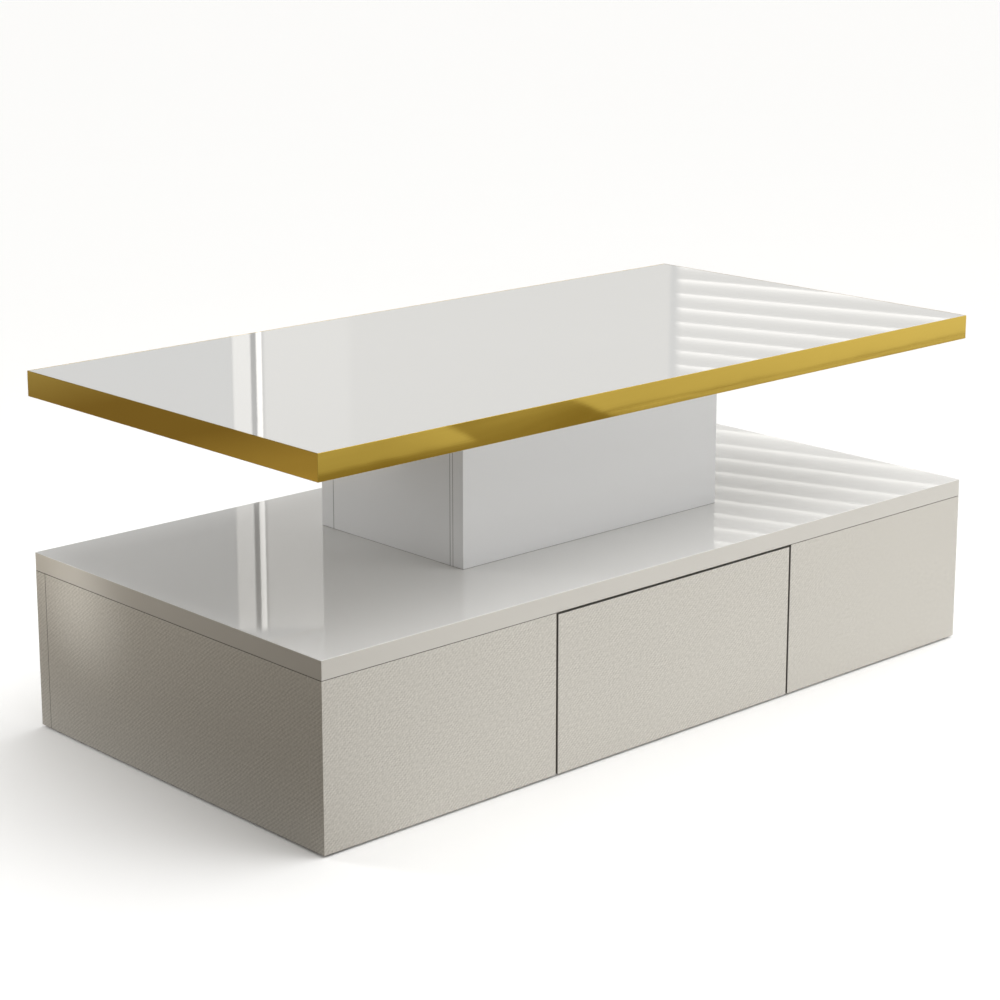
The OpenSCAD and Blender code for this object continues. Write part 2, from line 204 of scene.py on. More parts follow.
def joint_shading_mask(paint, planes):
    """1 close to the planes where boards meet, and 0 elsewhere: the mask for the painted shade in the joints, and
    for the one painted highlight line.

    planes is [(axis, metres)], with axis 0, 1 or 2.
    """
    where = paint.axes(paint.place)
    lines = 0.0
    for axis, at in planes:
        line = band(paint, where[axis], at - SEAM, at + SEAM, SEAM_FADE)
        lines = paint.math("MAXIMUM", lines, line)
    return lines


def gap_rim_shade(paint):
    """1 on the front rims of the gap round the drawer front, where painted shade makes the gap read almost black.
    """
    x, y, z = paint.axes(paint.place)
    low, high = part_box("drawer_front")
    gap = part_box("front_panel_right")[0].x - high.x
    sideways = paint.math("SUBTRACT", paint.math("ABSOLUTE", x), high.x)
    outside = paint.math("MAXIMUM", sideways, paint.math("SUBTRACT", z, high.z))
    rims = band(paint, outside, -SEAM, gap + SEAM, SEAM_FADE)
    front = band(paint, y, low.y - gap, low.y + gap, SEAM_FADE)
    return paint.math("MULTIPLY", rims, front)


def band(paint, value, low, high, soft):
    """1 where value is between low and high, fading over soft at both ends."""
    rise = paint.ranged(value, low - soft / 2, low + soft / 2)
    fall = paint.ranged(value, high - soft / 2, high + soft / 2, 1, 0)
    return paint.math("MULTIPLY", rise, fall)


def mottled(paint, colour, scale, detail, dark, light):
    """The colour in soft clouds, from dark times itself to light times itself."""
    cloud = paint.noise(scale, detail)
    return paint.blend(cloud, shade(colour, dark), shade(colour, light))


def lacquer(paint):
    """High gloss lacquer: a clear coat with faint orange peel. It leaves the colour alone."""
    paint.set(roughness=paint.ranged(paint.noise(9, 2), 0.3, 0.7, 0.42, 0.46))
    peel = paint.bump(paint.noise(110, 1), 0.004 * MM)
    paint.set(coat_normal=peel, coat_weight=1.0, coat_roughness=0.012, coat_ior=1.6)


def top_gloss_white():
    paint = Paint("top_gloss_white", specular=0.15)
    lacquer(paint)
    paint.set(colour=mottled(paint, TOP_WHITE, 2.5, 3, 0.985, 1.01))
    return paint.material


def deck_gloss_white():
    """White on the flat, and the base's warm grey on the edges."""
    paint = Paint("deck_gloss_white", specular=0.15)
    lacquer(paint)
    flat = paint.ranged(paint.math("ABSOLUTE", paint.axes(paint.facing)[2]), 0.4, 0.8)
    colour = paint.blend(flat, GREIGE, DECK_WHITE)
    # Painted shade along the deck's lower edge, in the joint where it sits on the base.
    paint.set(colour=paint.blend(joint_shading_mask(paint, [(2, DECK_Z)]), colour, SEAM_SHADE))
    return paint.material


def pedestal_white():
    """Satin lacquer, cooler than the top, with the fine stipple of a sprayed coat."""
    paint = Paint("pedestal_white", specular=0.3)
    colour = mottled(paint, PEDESTAL, 3, 2, 0.985, 1.01)
    # Painted shade in the joints where the pedestal's boards meet, and along its foot on the deck.
    across = [(1, y) for y in (PEDESTAL_Y, -PEDESTAL_Y, -PEDESTAL_Y - LIPPING)]
    seam_shade_mask = joint_shading_mask(paint, [*across, (2, PEDESTAL_Z)])
    paint.set(colour=paint.blend(seam_shade_mask, colour, SEAM_SHADE))
    paint.set(roughness=paint.ranged(paint.noise(6, 1), 0.3, 0.7, 0.3, 0.34))
    stipple = paint.bump(paint.noise(420, 2), 0.004 * MM)
    paint.set(normal=stipple, coat_weight=0.3, coat_roughness=0.1)
    return paint.material


def base_gloss_greige():
    """Warm grey foil with a fine woven twill, its ribs rising to the right on upright faces."""
    paint = Paint("base_gloss_greige", specular=0.4)
    x, y, z = paint.axes(paint.place)
    nx, ny, _ = paint.axes(paint.facing)
    right = paint.math("SUBTRACT", paint.math("MULTIPLY", y, nx), paint.math("MULTIPLY", x, ny))
    wander = paint.ranged(paint.noise(28, 2), 0.3, 0.7, -0.3 * TWILL, 0.3 * TWILL)

    def ribs(slope, pitch):
        line = paint.math("MULTIPLY_ADD", right, slope, z)
        line = paint.math("ADD", line, wander)
        return paint.math("SINE", paint.math("MULTIPLY", line, 2 * math.pi / pitch))

    breaks = paint.ranged(ribs(1.3, 1.35 * TWILL), -1, 1, 0.1, 1)
    patches = paint.ranged(paint.noise(34, 2), 0.35, 0.65, 0.4, 1)
    twill = paint.math("MULTIPLY", ribs(-0.8, TWILL), paint.math("MULTIPLY", breaks, patches))
    slubs = paint.ranged(paint.noise(260, 1), 0.3, 0.7, -0.45, 0.45)
    thread = paint.ranged(paint.math("ADD", twill, slubs), -1.4, 1.4)
    tone = mottled(paint, GREIGE, 3, 2, 0.97, 1.02)
    woven = paint.node("ShaderNodeMix", data_type="RGBA", blend_type="MULTIPLY")
    paint.feed(woven.inputs[0], 1.0)
    paint.feed(woven.inputs[6], tone)
    paint.feed(woven.inputs[7], paint.blend(thread, THREAD_LOW, THREAD_HIGH))
    # Painted shade in the joint under the deck, at the end panels' rear seam and round the drawer gap, and a
    # painted highlight along the end panels' front seam.
    boards = joint_shading_mask(paint, [(2, DECK_Z), (1, END_REAR_Y)])
    seam_shade_mask = paint.math("MAXIMUM", boards, gap_rim_shade(paint))
    dark = paint.blend(seam_shade_mask, woven.outputs[2], SEAM_SHADE)
    paint.set(colour=paint.blend(joint_shading_mask(paint, [(1, END_FRONT_Y)]), dark, SEAM_HIGHLIGHT))
    paint.set(normal=paint.bump(thread, THREAD_H))
    paint.set(roughness=paint.ranged(thread, 0, 1, 0.5, 0.34))
    paint.set(coat_weight=0.5, coat_roughness=0.1)
    return paint.material


def gold_band():
    """Mirror-polished gold strip: long shallow waves and fine lengthwise streaks."""
    paint = Paint("gold_band", metallic=1.0)
    streaks = paint.noise(1, 5, 0.6, at=paint.mapped((6, 6, 900)))
    paint.set(colour=mottled(paint, GOLD, 5, 3, 0.94, 1.04))
    paint.set(roughness=paint.ranged(streaks, 0.3, 0.7, 0.02, 0.05))
    waves = paint.bump(paint.noise(1, 2, at=paint.mapped((6, 6, 12))), 0.12 * MM)
    paint.set(normal=paint.bump(streaks, 0.0015 * MM, waves))
    return paint.material


def carcass_board():
    """White melamine board, with a faint pearl texture."""
    paint = Paint("carcass_board", specular=0.45)
    paint.set(colour=paint.blend(paint.noise(18, 4), (0.76, 0.755, 0.73), (0.79, 0.785, 0.765)))
    paint.set(roughness=paint.ranged(paint.noise(60, 3), 0.3, 0.7, 0.36, 0.46))
    paint.set(normal=paint.bump(paint.noise(900, 3), 0.03 * MM))
    return paint.material


def hardboard():
    """White-faced hardboard with short pressed fibres."""
    paint = Paint("hardboard")
    fibres = paint.noise(1, 4, 0.6, at=paint.mapped((260, 900, 900), (0, 0, 24)))
    share = paint.ranged(fibres, 0.35, 0.7)
    paint.set(colour=paint.blend(share, (0.70, 0.69, 0.66), (0.78, 0.775, 0.75)))
    paint.set(roughness=0.5, normal=paint.bump(fibres, 0.04 * MM))
    return paint.material


def black_steel():
    """Satin black powder coat, with its fine pebbled skin and a few rubbed specks."""
    paint = Paint("black_steel", specular=0.5)
    specks = paint.ranged(paint.noise(1400, 2), 0.62, 0.75)
    paint.set(colour=paint.blend(specks, (0.022, 0.022, 0.024), (0.06, 0.06, 0.065)))
    paint.set(roughness=paint.ranged(paint.noise(40, 3), 0.3, 0.7, 0.36, 0.5))
    paint.set(normal=paint.bump(paint.noise(1100, 3), 0.05 * MM))
    return paint.material


def zinc_steel():
    """Bright zinc plating with a faint spangle."""
    paint = Paint("zinc_steel", metallic=1.0)
    spangle = paint.axes(paint.cells(420))[0]
    paint.set(colour=paint.blend(spangle, (0.58, 0.59, 0.62), (0.70, 0.70, 0.71)))
    paint.set(roughness=paint.ranged(paint.noise(300, 3), 0.3, 0.7, 0.2, 0.34))
    paint.set(normal=paint.bump(paint.noise(800, 2), 0.01 * MM))
    return paint.material


def runner_steel():
    """Rolled steel strip, drawn along the runner."""
    paint = Paint("runner_steel", metallic=1.0)
    drawn = paint.noise(1, 4, 0.6, at=paint.mapped((2200, 9, 2200)))
    paint.set(colour=paint.blend(drawn, (0.55, 0.56, 0.58), (0.68, 0.69, 0.70)))
    paint.set(roughness=paint.ranged(drawn, 0.3, 0.7, 0.22, 0.38))
    paint.set(normal=paint.bump(drawn, 0.006 * MM))
    return paint.material


def spring_steel():
    """Oiled spring wire with die marks."""
    paint = Paint("spring_steel", metallic=1.0)
    marks = paint.noise(650, 3)
    paint.set(colour=paint.blend(marks, (0.30, 0.305, 0.32), (0.46, 0.465, 0.48)))
    paint.set(roughness=paint.ranged(marks, 0.3, 0.7, 0.22, 0.36))
    return paint.material


def nylon():
    paint = Paint("nylon", specular=0.45, subsurface_weight=0.15)
    paint.set(subsurface_radius=(0.004, 0.004, 0.003))
    paint.set(colour=paint.blend(paint.noise(90, 3), (0.74, 0.73, 0.68), (0.80, 0.79, 0.75)))
    paint.set(roughness=0.42, normal=paint.bump(paint.noise(600, 2), 0.01 * MM))
    return paint.material


def grey_plastic():
    """Moulded plastic with a fine spark-eroded grain."""
    paint = Paint("grey_plastic", specular=0.45)
    paint.set(colour=paint.blend(paint.noise(50, 3), (0.13, 0.133, 0.14), (0.16, 0.163, 0.17)))
    paint.set(roughness=0.48, normal=paint.bump(paint.noise(1500, 2), 0.03 * MM))
    return paint.material


def clear_rubber():
    """Soft translucent bumper."""
    paint = Paint("clear_rubber", specular=0.5, transmission_weight=0.5, ior=1.45)
    paint.set(colour=paint.blend(paint.noise(200, 2), (0.80, 0.80, 0.78), (0.86, 0.86, 0.84)))
    paint.set(roughness=0.28, normal=paint.bump(paint.noise(500, 2), 0.01 * MM))
    return paint.material


MATERIALS = {
    make.__name__: make()
    for make in (
        top_gloss_white, deck_gloss_white, pedestal_white, base_gloss_greige, gold_band,
        carcass_board, hardboard, black_steel, zinc_steel, runner_steel, spring_steel,
        nylon, grey_plastic, clear_rubber,
    )
}
SLOT_OF = {part["node"]: part["material_slot"] for part in record["subparts"]}


def paint_nodes():
    for name, obj in nodes.items():
        obj.data.materials.clear()
        obj.data.materials.append(MATERIALS[SLOT_OF[name]])


paint_nodes()

# ---------------------------------------------------------------- edges of the CAD nodes

BEVEL = {
    "top_gloss_white": 0.5 * MM,
    "gold_band": 0.35 * MM,
    "deck_gloss_white": 1 * MM,
    "pedestal_white": 0.7 * MM,
    "base_gloss_greige": 0.6 * MM,
    "carcass_board": 0.6 * MM,
    "hardboard": 0.3 * MM,
    "black_steel": 0.4 * MM,
    "zinc_steel": 0.3 * MM,
    "runner_steel": 0.2 * MM,
    "nylon": 0.25 * MM,
    "grey_plastic": 0.5 * MM,
    "clear_rubber": 0.4 * MM,
}


WELD = 0.002 * MM
BEVEL_STEPS = 3
FLAT_ANGLE = math.radians(0.5)
SHARP_ANGLE = math.radians(40)


def soften(obj, width):
    """Rounds a node's sharp edges, once its split corners are welded and its flats joined."""
    weld = obj.modifiers.new("weld", "WELD")
    weld.merge_threshold = WELD
    flats = obj.modifiers.new("flats", "DECIMATE")
    flats.decimate_type = "DISSOLVE"
    flats.angle_limit = FLAT_ANGLE
    bevel = obj.modifiers.new("bevel", "BEVEL")
    bevel.width = width
    bevel.segments = BEVEL_STEPS
    bevel.limit_method = "ANGLE"
    bevel.angle_limit = SHARP_ANGLE
    bevel.use_clamp_overlap = False
    bevel.harden_normals = True


for node_name, node_obj in nodes.items():
    if SLOT_OF[node_name] in BEVEL:
        soften(node_obj, BEVEL[SLOT_OF[node_name]])

# ---------------------------------------------------------------- mesh helpers


def side_of(x):
    return 1 if x > 0 else -1


def side_name(side):
    return "right" if side > 0 else "left"


def islands(node):
    """The (lowest, highest) corners of each separate solid in a CAD node."""
    mesh = bmesh.new()
    mesh.from_mesh(nodes[node].data)
    bmesh.ops.remove_doubles(mesh, verts=mesh.verts, dist=WELD)
    left = set(mesh.verts)
    boxes = []
    while left:
        stack = [left.pop()]
        found = []
        while stack:
            vert = stack.pop()
            found.append(vert.co.copy())
            for edge in vert.link_edges:
                other = edge.other_vert(vert)
                if other in left:
                    left.remove(other)
                    stack.append(other)
        low = Vector(min(c[i] for c in found) for i in range(3))
        high = Vector(max(c[i] for c in found) for i in range(3))
        boxes.append((low, high))
    mesh.free()
    return sorted(boxes, key=lambda box: tuple(box[0]))


def new_piece(name, mesh, slot, body, smooth=True):
    """Makes an object of a bmesh, with the slot's material, riding on a body."""
    bmesh.ops.recalc_face_normals(mesh, faces=mesh.faces)
    data = bpy.data.meshes.new(name)
    mesh.to_mesh(data)
    mesh.free()
    for face in data.polygons:
        face.use_smooth = smooth
    data.materials.append(MATERIALS[slot])
    obj = bpy.data.objects.new(name, data)
    bpy.context.scene.collection.objects.link(obj)
    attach(obj, body)
    return obj


def tube(mesh, points, radius, sides=8):
    """Adds a round wire along points, with closed ends."""
    normal = (points[1] - points[0]).orthogonal().normalized()
    rings = []
    for k, point in enumerate(points):
        tangent = (points[min(k + 1, len(points) - 1)] - points[max(k - 1, 0)]).normalized()
        normal = (normal - tangent * normal.dot(tangent)).normalized()
        side = tangent.cross(normal)
        rings.append([
            mesh.verts.new(point + radius * (math.cos(a) * normal + math.sin(a) * side))
            for a in (2 * math.pi * j / sides for j in range(sides))
        ])
    for lower, upper in zip(rings, rings[1:]):
        for j in range(sides):
            mesh.faces.new((lower[j], lower[(j + 1) % sides], upper[(j + 1) % sides], upper[j]))
    mesh.faces.new(rings[0][::-1])
    mesh.faces.new(rings[-1])


def aimed(at, axis):
    """The place that takes the local +Z to axis and the origin to at."""
    return Matrix.Translation(at) @ Vector(axis).to_track_quat("Z", "X").to_matrix().to_4x4()


# ---------------------------------------------------------------- screws


SCREW_HEAD = 2.2 * MM
SCREW_SHANK = 2 * MM  # radius
SCREW_TIP = 2.2 * MM  # of the reach, left for the point
SCREW_SIDES = 48
HEAD_RINGS = 14
DOME = 0.45  # of the head's height, from crown to rim
SLOT_WIDE = 0.14  # of the head's radius, half a slot's width
SLOT_LONG = 0.55  # of the head's radius, from the middle to a slot's end
SLOT_DEEP = 0.55  # of the head's height
SCREW_SPLIT = math.radians(38)


def cross_head(mesh, place, radius, height, shank, length):
    """Adds a pan-head screw with a cross recess. Its head stands on the local plane z = 0."""
    angles = [2 * math.pi * k / SCREW_SIDES for k in range(SCREW_SIDES)]
    levels = []
    for ring in range(HEAD_RINGS + 1):
        share = ring / HEAD_RINGS
        level = []
        for angle in angles:
            x = radius * share * math.cos(angle)
            y = radius * share * math.sin(angle)
            z = height * (1 - DOME * share**4)
            narrow = min(abs(x), abs(y)) < SLOT_WIDE * radius
            arm = narrow and max(abs(x), abs(y)) < SLOT_LONG * radius
            depth = SLOT_DEEP * height if arm else 0.0
            level.append(mesh.verts.new(place @ Vector((x, y, z - depth))))
            if ring == 0:
                break
        levels.append(level)
    skirt = [(radius, 0.15 * height), (radius * 0.96, 0), (shank, 0), (shank, -length)]
    for r, z in skirt:
        spots = [Vector((r * math.cos(a), r * math.sin(a), z)) for a in angles]
        levels.append([mesh.verts.new(place @ spot) for spot in spots])
    levels.append([mesh.verts.new(place @ Vector((0, 0, -length - shank)))])
    close_rings(mesh, levels)


def close_rings(mesh, levels):
    """Adds the faces between rings of points, each ring as long as the next or one point."""
    for inner, outer in zip(levels, levels[1:]):
        for k in range(SCREW_SIDES):
            corners = [inner[k % len(inner)], inner[(k + 1) % len(inner)]]
            corners += [outer[(k + 1) % len(outer)], outer[k % len(outer)]]
            mesh.faces.new(list(dict.fromkeys(corners)))


def screws(node, body, axis):
    """Replaces a node of screws by detailed ones. axis(centre) is the way a head faces."""
    mesh = bmesh.new()
    for low, high in islands(node):
        centre = (low + high) / 2
        way = Vector(axis(centre))
        reach = abs((high - low).dot(way))
        wide = max((high - low)[i] for i in range(3) if abs(way[i]) < 0.5)
        face = centre + way * (reach / 2 - SCREW_HEAD)
        length = reach - SCREW_HEAD - SCREW_TIP
        cross_head(mesh, aimed(face, way), wide / 2, SCREW_HEAD, SCREW_SHANK, length)
    piece = new_piece(node + "_detail", mesh, "zinc_steel", body)
    edges = piece.modifiers.new("edges", "EDGE_SPLIT")
    edges.split_angle = SCREW_SPLIT
    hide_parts(node)


screws("top_bracket_screws", "lift_top", lambda centre: (0, 0, -1))
screws("base_plate_screws", "root", lambda centre: (-side_of(centre.x), 0, 0))

# ---------------------------------------------------------------- springs

WIRE = 0.9 * MM
STUD_R = 3 * MM
HOOK_LEAD = 11 * MM  # from a stud's centre to where the coil begins
HOOK_STEPS = 18
HOOK_TURN = 270  # degrees round the stud
SPRING_TURNS = 43
TURN_STEPS = 18


def spring_ends(side):
    """Where a spring's two hooks go: round the rear arm's stud and round the base plate's post."""
    studs = [box for box in islands("spring_studs") if side_of(box[0].x + box[1].x) == side]
    longest = max(islands("base_plate_studs"), key=lambda box: box[1].x - box[0].x)
    low, high = studs[0]
    x = (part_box("spring_right")[0].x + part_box("spring_right")[1].x) / 2 * side
    stud = Vector((x, (low.y + high.y) / 2, (low.z + high.z) / 2))
    post_y = (longest[0].y + longest[1].y) / 2
    post_z = (longest[0].z + longest[1].z) / 2
    return stud, Vector((x, post_y, post_z))


def hook(centre, towards, start):
    """Points of a hook round a stud at centre, from the spring's axis on to its open end."""
    radius = STUD_R + WIRE
    away = -towards
    across = Vector((1, 0, 0)).cross(away).normalized()
    points = []
    for k in range(HOOK_STEPS + 1):
        angle = math.radians(180 - HOOK_TURN * k / HOOK_STEPS)
        points.append(centre + radius * (math.cos(angle) * away + math.sin(angle) * across))
    return [start] + points


def coil(first, last, axis, radius):
    """Points of the coil from first to last, both of them on its axis."""
    out = Vector((1, 0, 0))
    across = axis.cross(out)
    steps = SPRING_TURNS * TURN_STEPS
    points = []
    for k in range(steps + 1):
        angle = 2 * math.pi * k / TURN_STEPS
        # The first and last turns close in to the axis, where the hooks begin.
        ease = min(1.0, k / TURN_STEPS, (steps - k) / TURN_STEPS)
        grown = radius * math.sin(ease * math.pi / 2)
        centre = first + (last - first) * k / steps
        points.append(centre + grown * (math.cos(angle) * out + math.sin(angle) * across))
    return points


def with_top_up(point):
    """Where a point of the rear arms is when they have turned as far as they go."""
    joint = next(j for j in frame["joints"] if j["name"] == "lift_arms")
    pivot = Vector(joint["pos_m"])
    turn = Matrix.Rotation(math.radians(joint["range_deg"][1]), 3, "X")
    arm = turn @ Vector((0, point.y - pivot.y, point.z - pivot.z))
    return Vector((point.x, pivot.y + arm.y, pivot.z + arm.z))


def extension_spring(side):
    """Replaces a plain spring, with its moving hook round the stud where the arms rest. It rides on the root and
    keeps that shape as the arms turn.
    """
    name = side_name(side)
    tail, post = spring_ends(side)
    axis = (post - tail).normalized()
    length = (post - tail).length
    radius = (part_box("spring_right")[1].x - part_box("spring_right")[0].x) / 2 - WIRE
    first = tail + HOOK_LEAD * axis
    last = post - HOOK_LEAD * axis
    points = hook(tail, axis, first)[:0:-1]
    points += coil(first, last, axis, radius)
    points += hook(post, -axis, last)[1:]
    mesh = bmesh.new()
    tube(mesh, points, WIRE)
    piece = new_piece("extension_spring_" + name, mesh, "spring_steel", "root")
    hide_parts("spring_" + name)
    keep = (post - with_top_up(tail)).length / length
    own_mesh(piece)


for spring_side in (-1, 1):
    extension_spring(spring_side)

# ---------------------------------------------------------------- ball runners

BALL_R = 2.1 * MM
BALL_PITCH = 5.5 * BALL_R
BALLS = 12
CAGE_WIDE = 2.4 * BALL_R
CAGE_T = 0.5 * MM
CAGE_BEVEL = 0.15 * MM
OUTER_SHEET = 1.2 * MM
MIDDLE_SHEET = 1 * MM
OUTER_BALLS_X = 5.2 * MM  # from the middle channel's inner face
INNER_BALLS_X = 4.4 * MM  # from the inner channel's inner face
OUTER_BALLS_Y = 0.15  # before the outer channel's rear end
INNER_BALLS_Y = 0.01  # behind the inner channel's front end


def ball_cage(name, body, x, z, start):
    """A row of balls held in a flat strip, between two of a runner's channels."""
    mesh = bmesh.new()
    for k in range(BALLS):
        at = Matrix.Translation((x, start + BALL_PITCH * (k + 0.5), z))
        bmesh.ops.create_icosphere(mesh, subdivisions=2, radius=BALL_R, matrix=at)
    new_piece(name + "_balls", mesh, "zinc_steel", body)
    strip = bmesh.new()
    bmesh.ops.create_cube(strip, size=1)
    size = (CAGE_WIDE, BALL_PITCH * BALLS, CAGE_T)
    bmesh.ops.scale(strip, vec=size, verts=strip.verts)
    bmesh.ops.translate(strip, vec=(x, start + size[1] / 2, z), verts=strip.verts)
    cage = new_piece(name + "_cage", strip, "runner_steel", body, smooth=False)
    bevel = cage.modifiers.new("bevel", "BEVEL")
    bevel.width = CAGE_BEVEL
    bevel.segments = 2


def runner_balls(side):
    name = side_name(side)
    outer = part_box("runner_outer_right")
    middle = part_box("runner_middle_right")
    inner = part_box("runner_inner_right")
    centre_z = (outer[0].z + outer[1].z) / 2
    outer_z = (outer[1].z - OUTER_SHEET + middle[1].z) / 2 - centre_z
    inner_z = (middle[1].z - MIDDLE_SHEET + inner[1].z) / 2 - centre_z
    outer_x = side * (middle[0].x + OUTER_BALLS_X)
    inner_x = side * (inner[0].x + INNER_BALLS_X)
    outer_y = outer[1].y - OUTER_BALLS_Y
    inner_y = inner[0].y + INNER_BALLS_Y
    body = "runner_middle_" + name
    for level, way in (("upper", 1), ("lower", -1)):
        ball_cage(f"outer_{level}_{name}", body, outer_x, centre_z + way * outer_z, outer_y)
        ball_cage(f"inner_{level}_{name}", body, inner_x, centre_z + way * inner_z, inner_y)


for runner_side in (-1, 1):
    runner_balls(runner_side)

# ---------------------------------------------------------------- floor, world and lights

FLOOR_SEEN = (0.97, 0.97, 0.968)
FLOOR = (0.88, 0.88, 0.875)
FLOOR_PATCH = (0.31, 0.26, 0.14)
FLOOR_RUG = (0.13, 0.105, 0.075)
FLOOR_RUG_FAR = (0.34, 0.27, 0.18)
FLOOR_RUG_PALE = (0.58, 0.49, 0.36)
ROOM_DARK = (0.17, 0.155, 0.13)
ROOM_LIGHT = (0.58, 0.58, 0.575)
WINDOW = 1.7
SLAT = 40 * MM
BACKDROP = (0.95, 0.95, 0.94)
FLOOR_SIZE = 120
CARD_WHITE = (1.0, 0.98, 0.94)
SKY_WIDE = 70  # degrees
LOUVRE_GLOW = 1.3  # how much a slat's lower edge adds
LOUVRE_BASE = 0.76

# Where the floor is darker, as (low, high, fade) in metres. The camera doesn't see any of it.
DARK_Y = (-2.4, -1.3, 0.2)
STRIPE_X = (0.43, 0.79, 0.02)
STRIPE_SLANT = 0.28
LEFT_X = (-0.6, 0.9, 0.3)
FOOT_X = (-0.4, 1.15, 0.4)
FOOT_Y = (-1.7, -1.5, 0.03)
LINE_X = (1.1, 5, 0.2)
LINE_1_Y = (-1.69, -1.676, 0.008)
LINE_2_Y = (-1.655, -1.64, 0.01)
FAR_X = (1, 2, 0.7)
RUG_X = (-4, -0.6, 0.3)
RUG_Y = (-1.3, 2.3, 0.9)
RUG_PALE_Y = (0.95, 1.35, 0.3)

# Parts of the window card, as (low, high, fade) in metres across it, and how bright each is.
PANE_X, PANE_GLOW = (0.029, 0.080, 0.006), 0.65
BAR_X = (-0.001, 0.014, 0.004)
BLIND_X, BLIND_GLOW = (-0.24, -0.001, 0.02), 0.5
WALL_X, WALL_GLOW = (-1.2, -0.24, 0.02), 0.45


def flat_sheet(name, width, height):
    """A rectangle in its own XY plane."""
    mesh = bmesh.new()
    bmesh.ops.create_grid(mesh, x_segments=1, y_segments=1, size=0.5)
    bmesh.ops.scale(mesh, vec=(width, height, 1), verts=mesh.verts)
    data = bpy.data.meshes.new(name)
    mesh.to_mesh(data)
    mesh.free()
    sheet = bpy.data.objects.new(name, data)
    bpy.context.scene.collection.objects.link(sheet)
    return sheet


def floor_patches(paint, x, y):
    """How dark the floor is in front of the table, from 0 to 1."""
    stripe = band(paint, paint.math("MULTIPLY_ADD", y, STRIPE_SLANT, x), *STRIPE_X)
    left = paint.math("MULTIPLY", band(paint, x, *LEFT_X), 0.45)
    foot = paint.math("MULTIPLY", band(paint, y, *FOOT_Y), band(paint, x, *FOOT_X))
    lines = paint.math("ADD", band(paint, y, *LINE_1_Y), band(paint, y, *LINE_2_Y))
    lines = paint.math("MULTIPLY", lines, band(paint, x, *LINE_X))
    far = paint.math("MULTIPLY", band(paint, x, *FAR_X), 0.2)
    dark = 0.0
    for patch in (stripe, left, foot, lines, far):
        dark = paint.math("MAXIMUM", dark, patch)
    return dark


def make_floor():
    """A pale floor with a dim brown rug at -X and dark patches in front.

    The camera sees it plain. The rug and the patches show only in the reflections and in the
    light that the floor gives the object.
    """
    floor = flat_sheet("floor", FLOOR_SIZE, FLOOR_SIZE)
    paint = Paint("floor", specular=0.1)
    x, y, _ = paint.axes(paint.place)
    streaks = paint.noise(1, 4, at=paint.mapped((0.8, 9, 1), (0, 0, 15)))
    grain = paint.ranged(streaks, 0.35, 0.65, 0.6, 1)
    near = band(paint, y, *DARK_Y)
    dark = floor_patches(paint, x, y)
    dark = paint.math("MULTIPLY", paint.math("MULTIPLY", dark, near), grain)
    ground = paint.blend(dark, FLOOR, FLOOR_PATCH)
    rug = paint.math("MULTIPLY", band(paint, x, *RUG_X), band(paint, y, *RUG_Y))
    pile = paint.blend(paint.ranged(y, 0.6, 1.3), FLOOR_RUG, FLOOR_RUG_FAR)
    pile = paint.blend(band(paint, y, *RUG_PALE_Y), pile, FLOOR_RUG_PALE)
    ground = paint.blend(rug, ground, pile)
    seen = paint.node("ShaderNodeLightPath").outputs["Is Camera Ray"]
    paint.set(colour=paint.blend(seen, ground, FLOOR_SEEN), roughness=0.8)
    floor.data.materials.append(paint.material)


def make_world():
    """White behind the object, and a grey room, darker at -X, in its reflections and its light."""
    world = bpy.data.worlds.new("studio")
    bpy.context.scene.world = world
    world.use_nodes = True
    tree = world.node_tree
    room = tree.nodes["Background"]
    way = tree.nodes.new("ShaderNodeTexCoord")
    turned = tree.nodes.new("ShaderNodeSeparateXYZ")
    tree.links.new(way.outputs["Generated"], turned.inputs[0])
    side = tree.nodes.new("ShaderNodeMapRange")
    side.inputs["From Min"].default_value = -0.8
    side.inputs["From Max"].default_value = 0.6
    tree.links.new(turned.outputs[0], side.inputs["Value"])
    colour = tree.nodes.new("ShaderNodeMix")
    colour.data_type = "RGBA"
    colour.inputs[6].default_value = (*ROOM_DARK, 1)
    colour.inputs[7].default_value = (*ROOM_LIGHT, 1)
    tree.links.new(side.outputs[0], colour.inputs[0])
    tree.links.new(colour.outputs[2], room.inputs["Color"])
    backdrop = tree.nodes.new("ShaderNodeBackground")
    backdrop.inputs["Color"].default_value = (*BACKDROP, 1)
    seen = tree.nodes.new("ShaderNodeLightPath")
    mixed = tree.nodes.new("ShaderNodeMixShader")
    tree.links.new(seen.outputs["Is Camera Ray"], mixed.inputs[0])
    tree.links.new(room.outputs[0], mixed.inputs[1])
    tree.links.new(backdrop.outputs[0], mixed.inputs[2])
    tree.links.new(mixed.outputs[0], tree.nodes["World Output"].inputs[0])


def aim(obj, at, target):
    """Puts obj at a place with its local -Z towards target and its local Y up."""
    obj.location = at
    obj.rotation_mode = "QUATERNION"
    obj.rotation_quaternion = (Vector(at) - Vector(target)).to_track_quat("Z", "Y")


def softbox(name, at, target, size, power, spread=180):
    """A rectangular lamp that is hidden from the camera and from reflections."""
    light = bpy.data.lights.new(name, "AREA")
    light.spread = math.radians(spread)
    light.shape = "RECTANGLE"
    light.size, light.size_y = size
    light.energy = power
    lamp = bpy.data.objects.new(name, light)
    bpy.context.scene.collection.objects.link(lamp)
    aim(lamp, at, target)
    lamp.visible_camera = False
    lamp.visible_glossy = False


def sky_light(tilt, strength):
    """A very wide sun, so that the whole floor is evenly lit."""
    light = bpy.data.lights.new("sky", "SUN")
    light.energy = strength
    light.angle = math.radians(SKY_WIDE)
    lamp = bpy.data.objects.new("sky", light)
    bpy.context.scene.collection.objects.link(lamp)
    aim(lamp, tilt, (0, 0, 0))


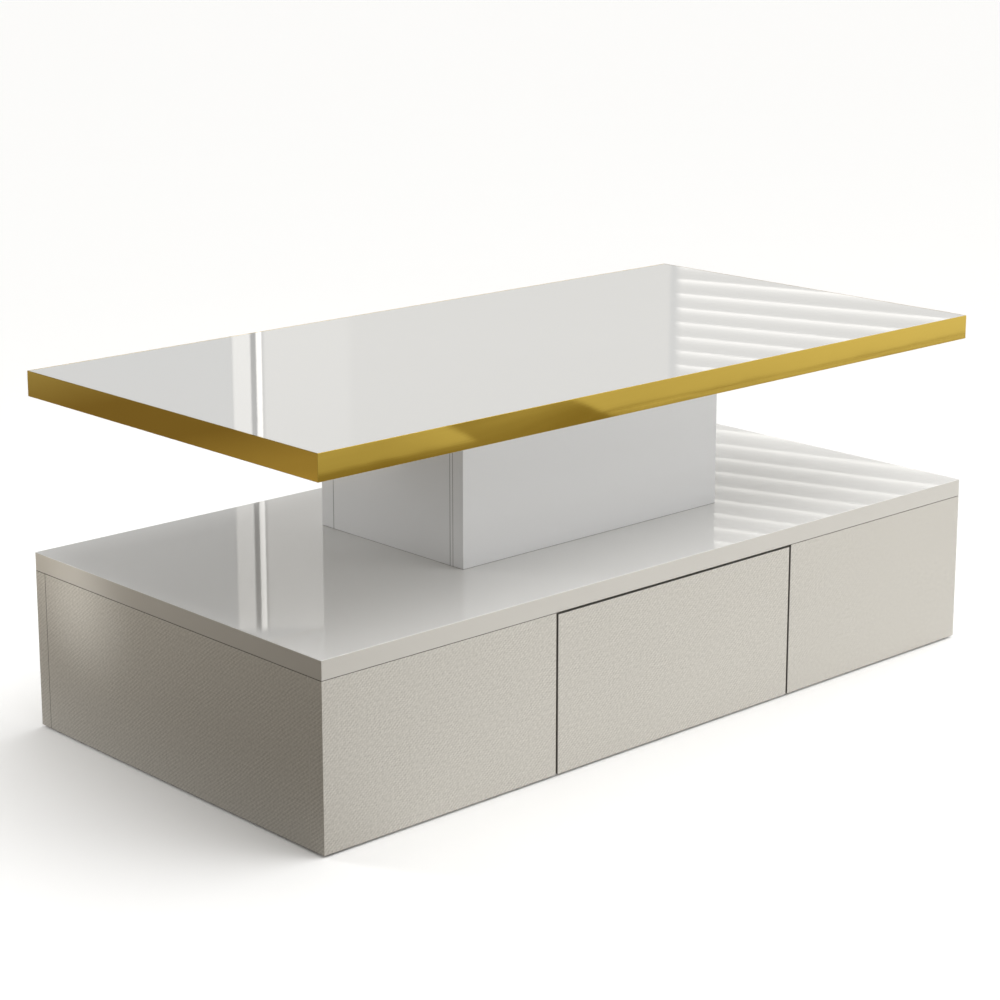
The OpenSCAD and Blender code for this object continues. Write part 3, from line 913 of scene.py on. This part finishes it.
def card(name, at, target, size, glow, opacity):
    """A glowing card that only glossy surfaces see.

    glow and opacity are functions of the Paint and its x and y in metres.
    """
    sheet = flat_sheet(name, *size)
    aim(sheet, at, target)
    for ray in ("camera", "diffuse", "transmission", "volume_scatter", "shadow"):
        setattr(sheet, "visible_" + ray, False)
    paint = Paint(name)
    x, y, _ = paint.axes(paint.place)
    inputs = {"Color": CARD_WHITE, "Strength": glow(paint, x, y)}
    light = paint.node("ShaderNodeEmission", inputs)
    clear = paint.node("ShaderNodeBsdfTransparent")
    inputs = {0: opacity(paint, x, y), 1: clear.outputs[0], 2: light.outputs[0]}
    mixed = paint.node("ShaderNodeMixShader", inputs)
    output = next(n for n in paint.tree.nodes if n.type == "OUTPUT_MATERIAL")
    paint.tree.links.new(mixed.outputs[0], output.inputs["Surface"])
    sheet.data.materials.append(paint.material)


def window():
    """A tall narrow window with a glazing bar, which the gloss white shows as bright strips."""
    def glow(paint, x, y):
        wide = paint.math("MULTIPLY", band(paint, x, *PANE_X), PANE_GLOW)
        narrow = band(paint, x, *BAR_X)
        blind = paint.math("MULTIPLY", band(paint, x, *BLIND_X), BLIND_GLOW)
        wall = paint.math("MULTIPLY", band(paint, x, *WALL_X), WALL_GLOW)
        lit = paint.math("ADD", paint.math("ADD", wide, narrow), paint.math("ADD", blind, wall))
        return paint.math("MULTIPLY", lit, WINDOW)

    def opacity(paint, x, y):
        under_head = paint.ranged(y, 0.02, 0.036, 1, 0)
        return paint.math("MULTIPLY", band(paint, x, -1.12, 0.078, 0.01), under_head)

    card("window", (1.71, 2.838, 1.45), (-2.285, -2.416, 1.45), (2.3, 2.3), glow, opacity)


def louvres():
    """A slatted card at the back right. Each slat fades upwards from a bright lower edge."""
    def glow(paint, x, y):
        slat = paint.math("FRACT", paint.math("DIVIDE", y, SLAT))
        fade = paint.math("POWER", paint.math("SUBTRACT", 1, slat), 4)
        edge = paint.ranged(slat, 0, 0.1)
        slats = paint.math("MULTIPLY", fade, edge)
        return paint.math("MULTIPLY_ADD", slats, LOUVRE_GLOW, LOUVRE_BASE)

    def opacity(paint, x, y):
        return paint.math("MULTIPLY", band(paint, x, -0.6, 0.54, 0.02), band(paint, y, -1, 1, 0.3))

    card("louvres", (2.80, 1.64, 1.2), (-0.98, 0.34, 1.2), (1.2, 2), glow, opacity)


make_floor()
make_world()
sky_light(tilt=(0.5, -0.34, 1), strength=2.3)
softbox("key", at=(2.6, -3.6, 0.75), target=(0, 0, 0.2), size=(2.4, 1.1), power=60)
softbox("back_left", at=(-1.3, 1.2, 0.62), target=(-0.6, 0.2, 0.25), size=(0.4, 0.4), power=10)
softbox(
    "corner", at=(-0.95, 0.29, 0.26), target=(-0.6, 0.2, 0.2), size=(0.06, 0.06), power=0.02, spread=34,
)
window()
louvres()

bpy.context.scene.view_settings.view_transform = "Standard"
